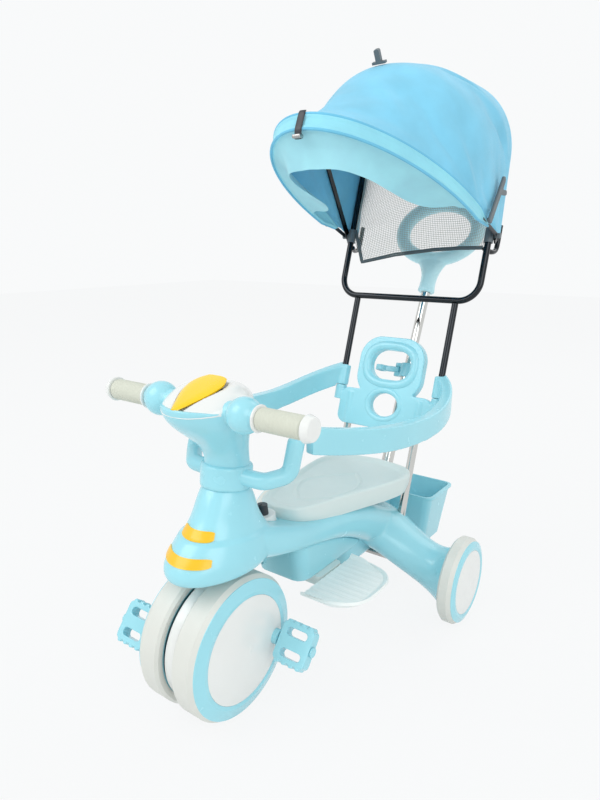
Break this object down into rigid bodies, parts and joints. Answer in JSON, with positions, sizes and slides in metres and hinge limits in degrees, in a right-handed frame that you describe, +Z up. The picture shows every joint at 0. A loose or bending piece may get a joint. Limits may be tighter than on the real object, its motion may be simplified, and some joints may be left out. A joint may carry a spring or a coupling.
{
  "type": "children's tricycle",
  "caption": "Pedal tricycle for a small child with a double front wheel, seat, guard rails, backrest, push pole with ring handle, basket and a folding fabric canopy on a tube stand.",
  "frame": {"origin": "on the floor under the middle of the tricycle's box", "axes": "+Z up, the front wheel towards -Y, the rider's left towards +X"},
  "size_m": [0.482, 0.8934, 1.0282],
  "materials": {
    "blue_plastic": "gloss",
    "pale_blue_plastic": "gloss",
    "ivory_tyre": "satin",
    "white_plastic": "gloss",
    "seat_plastic": "gloss",
    "grip_rubber": "matte",
    "yellow_plastic": "gloss",
    "chrome_tube": "polished",
    "black_tube": "gloss",
    "grey_plastic": "matte",
    "black_plastic": "matte",
    "steel": "satin",
    "canopy_cloth": "woven",
    "net_cloth": "net"
  },
  "bodies": {
    "frame": {"body_shell": "blue_plastic", "belly_tub": "blue_plastic", "footrest_carrier": "seat_plastic", "footrest_pins": "steel", "seat": "seat_plastic", "knob_plate": "white_plastic", "knob_potentiometer": "black_plastic", "steering_bushes": "grey_plastic", "guard_yoke": "blue_plastic", "rear_axle": "steel", "rear_axle_caps": "grey_plastic", "backrest_posts": "chrome_tube", "backrest": "blue_plastic", "backrest_screws": "steel", "push_tube_lower": "chrome_tube", "pole_clamp": "blue_plastic", "basket": "blue_plastic", "stand_legs": "black_tube", "stand_loop": "black_tube", "canopy_pivots": "grey_plastic", "mesh_curtain": "net_cloth", "canopy_cover": "canopy_cloth"},
    "steering": {"fork": "white_plastic", "steering_column": "steel", "pod_lower": "blue_plastic", "pod_upper": "white_plastic", "handlebar_tube": "steel", "grips": "grip_rubber", "grip_caps": "white_plastic", "horn_spring": "steel"},
    "horn": {"horn_button": "yellow_plastic"},
    "front_wheel": {"front_tyres": "ivory_tyre", "front_rims": "blue_plastic", "front_discs": "white_plastic", "crank_axle": "steel", "pedal_pins": "blue_plastic"},
    "left_pedal": {"pedal_left": "blue_plastic"},
    "right_pedal": {"pedal_right": "blue_plastic"},
    "left_rear_wheel": {"rear_tyre_left": "ivory_tyre", "rear_rim_left": "blue_plastic", "rear_disc_left": "white_plastic"},
    "right_rear_wheel": {"rear_tyre_right": "ivory_tyre", "rear_rim_right": "blue_plastic", "rear_disc_right": "white_plastic"},
    "knob": {"volume_knob": "black_plastic"},
    "left_footrest": {"footrest_left": "seat_plastic"},
    "right_footrest": {"footrest_right": "seat_plastic"},
    "left_guard": {"guard_rail_left": "blue_plastic"},
    "right_guard": {"guard_rail_right": "blue_plastic"},
    "canopy_front": {"front_bow": "canopy_cloth", "canopy_visor": "canopy_cloth", "hoop_strap": "grey_plastic", "canopy_stays": "grey_plastic"},
    "canopy_middle": {"mid_bow": "black_tube", "canopy_top_tab": "grey_plastic"},
    "push_bar": {"push_tube_upper": "chrome_tube", "push_handle": "blue_plastic"},
    "lever": {"pole_clamp_lever": "blue_plastic"}
  },
  "joints": [
    {"name": "steering_turn", "type": "hinge", "parent": "frame", "child": "steering", "pos_m": [0, -0.33675, 0.11], "axis": [0, 0.1219, 0.9925], "range_deg": [-30, 30]},
    {"name": "front_wheel_spin", "type": "hinge", "parent": "steering", "child": "front_wheel", "pos_m": [0, -0.33675, 0.11], "axis": [1, 0, 0], "continuous": true},
    {"name": "left_pedal_spin", "type": "hinge", "parent": "front_wheel", "child": "left_pedal", "pos_m": [0.1015, -0.27196, 0.09741], "axis": [1, 0, 0], "continuous": true},
    {"name": "right_pedal_spin", "type": "hinge", "parent": "front_wheel", "child": "right_pedal", "pos_m": [-0.1015, -0.40154, 0.12259], "axis": [1, 0, 0], "continuous": true},
    {"name": "left_rear_wheel_spin", "type": "hinge", "parent": "frame", "child": "left_rear_wheel", "pos_m": [0.221, 0.08425, 0.081], "axis": [1, 0, 0], "continuous": true},
    {"name": "right_rear_wheel_spin", "type": "hinge", "parent": "frame", "child": "right_rear_wheel", "pos_m": [-0.221, 0.08425, 0.081], "axis": [1, 0, 0], "continuous": true},
    {"name": "horn_press", "type": "slide", "parent": "steering", "child": "horn", "axis": [0, -0.1219, -0.9925], "range_m": [0, 0.003], "stiffness_N_per_m": 1500, "deforming": ["horn_spring"]},
    {"name": "volume_turn", "type": "hinge", "parent": "frame", "child": "knob", "pos_m": [0, -0.22475, 0.27], "axis": [0, 0, -1], "range_deg": [0, 270]},
    {"name": "left_footrest_fold", "type": "hinge", "parent": "frame", "child": "left_footrest", "pos_m": [0.07, -0.11475, 0.132], "axis": [0, -1, 0], "range_deg": [0, 75]},
    {"name": "right_footrest_fold", "type": "hinge", "parent": "frame", "child": "right_footrest", "pos_m": [-0.07, -0.11475, 0.132], "axis": [0, 1, 0], "range_deg": [0, 75]},
    {"name": "left_guard_swing", "type": "hinge", "parent": "frame", "child": "left_guard", "pos_m": [0.112, 0.19457, 0.41321], "axis": [0, 0.3074, 0.9516], "range_deg": [0, 60]},
    {"name": "right_guard_swing", "type": "hinge", "parent": "frame", "child": "right_guard", "pos_m": [-0.112, 0.19457, 0.41321], "axis": [0, -0.3074, -0.9516], "range_deg": [0, 60]},
    {"name": "canopy_fold", "type": "hinge", "parent": "frame", "child": "canopy_middle", "pos_m": [0, 0.28923, 0.7063], "axis": [-1, 0, 0], "range_deg": [0, 27], "deforming": ["canopy_cover"]},
    {"name": "canopy_front_fold", "type": "hinge", "parent": "canopy_middle", "child": "canopy_front", "pos_m": [0, 0.28923, 0.7063], "axis": [-1, 0, 0], "range_deg": [0, 23]},
    {"name": "push_bar_slide", "type": "slide", "parent": "frame", "child": "push_bar", "axis": [0, 0.3995, 0.9167], "range_m": [-0.1, 0]},
    {"name": "clamp_lever_turn", "type": "hinge", "parent": "frame", "child": "lever", "pos_m": [-0.025, 0.27912, 0.42043], "axis": [0, -0.3995, -0.9167], "range_deg": [0, 90]}
  ],
  "couplings": [
    {"joint": "canopy_front_fold", "follows": "canopy_fold", "ratio": 0.85185}
  ]
}
